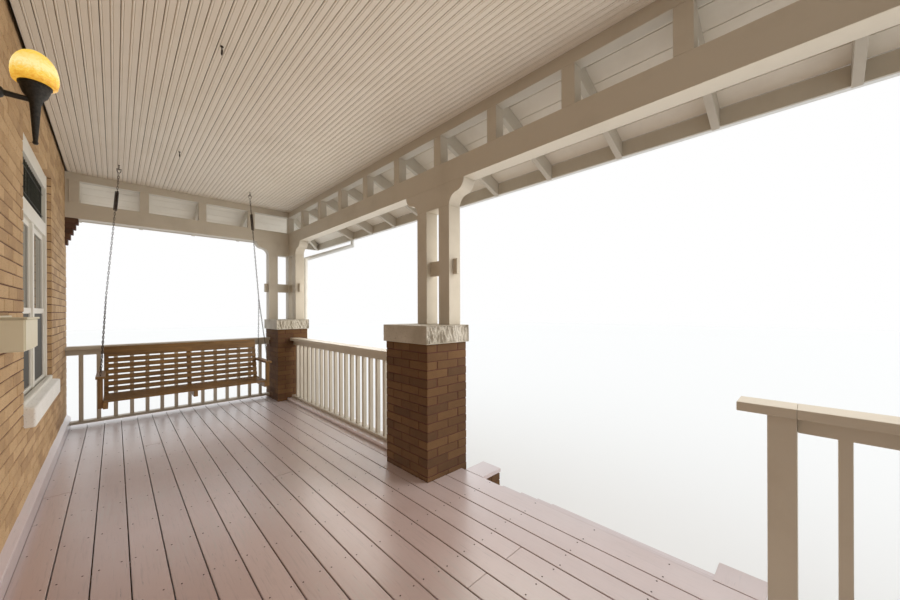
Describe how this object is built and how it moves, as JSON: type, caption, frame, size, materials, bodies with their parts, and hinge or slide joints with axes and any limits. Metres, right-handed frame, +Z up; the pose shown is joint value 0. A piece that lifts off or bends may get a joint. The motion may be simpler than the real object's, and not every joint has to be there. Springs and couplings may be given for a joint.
{
  "type": "front porch",
  "caption": "Covered brick and timber front porch: piers with paired posts, open frieze under a hipped roof, plank deck, railings, stair, and a slatted swing hung on chains.",
  "frame": {"origin": "ground level under the middle of the house wall, on the wall's centre line", "axes": "+X along the porch towards the swing, +Y into the house, +Z up; the street is towards -Y"},
  "size_m": [8.874, 3.865, 4.939],
  "materials": {
    "house_brick": "tan brick with dark mortar joints, laid in stretcher bond",
    "pier_brick": "brown brick with thin dark red joints",
    "corbel_brick": "dark brown brick",
    "stone": "rock-faced stone, painted off-white",
    "trim_paint": "off-white paint on timber, semi-gloss",
    "white_paint": "white paint on timber",
    "glass": "clear window glass",
    "door_wood": "stained timber",
    "mailbox_paint": "cream enamel",
    "iron": "black wrought iron",
    "amber_glass": "ribbed amber glass",
    "framing_wood": "bare framing timber",
    "deck_paint": "worn mauve-pink deck paint",
    "ceiling_paint": "warm off-white paint on narrow beaded boards",
    "shingle": "granulated asphalt shingles",
    "gutter_metal": "white enamelled sheet",
    "stained_wood": "brown stained slats, satin",
    "chain_steel": "dull dark steel"
  },
  "bodies": {
    "porch": {"house_wall": "house_brick", "wall_corbels": "corbel_brick", "window_sill": "stone", "window_frame": "white_paint", "window_sashes": "white_paint", "window_glass": "glass", "door_frame": "trim_paint", "front_door": "door_wood", "mailbox": "mailbox_paint", "lamp_bracket": "iron", "lamp_shade": "amber_glass", "foundation_walls": "pier_brick", "deck_joists": "framing_wood", "deck_boards": "deck_paint", "stair_stringers": "trim_paint", "stair_treads": "deck_paint", "stair_risers": "trim_paint", "brick_piers": "pier_brick", "pier_caps": "stone", "columns": "trim_paint", "bolsters": "trim_paint", "front_beam": "trim_paint", "end_beams": "trim_paint", "frieze_posts": "trim_paint", "front_plate": "trim_paint", "end_plates": "trim_paint", "ceiling": "ceiling_paint", "rafters": "trim_paint", "hip_rafters": "trim_paint", "roof_boards": "trim_paint", "shingles": "shingle", "hip_caps": "shingle", "fascia": "trim_paint", "gutter": "gutter_metal", "downspout": "gutter_metal", "front_railing": "trim_paint", "stair_railing": "trim_paint", "left_railing": "trim_paint", "right_railing": "trim_paint", "newel_post": "trim_paint", "ceiling_hooks": "iron"},
    "swing": {"swing_frame": "stained_wood", "swing_slats": "stained_wood", "swing_chains": "chain_steel"}
  },
  "joints": [
    {"name": "swing_hang", "type": "hinge", "parent": "porch", "child": "swing", "pos_m": [2.94, -1.221, 3.6903], "axis": [0, 1, 0], "range_deg": [-6, 25]}
  ]
}
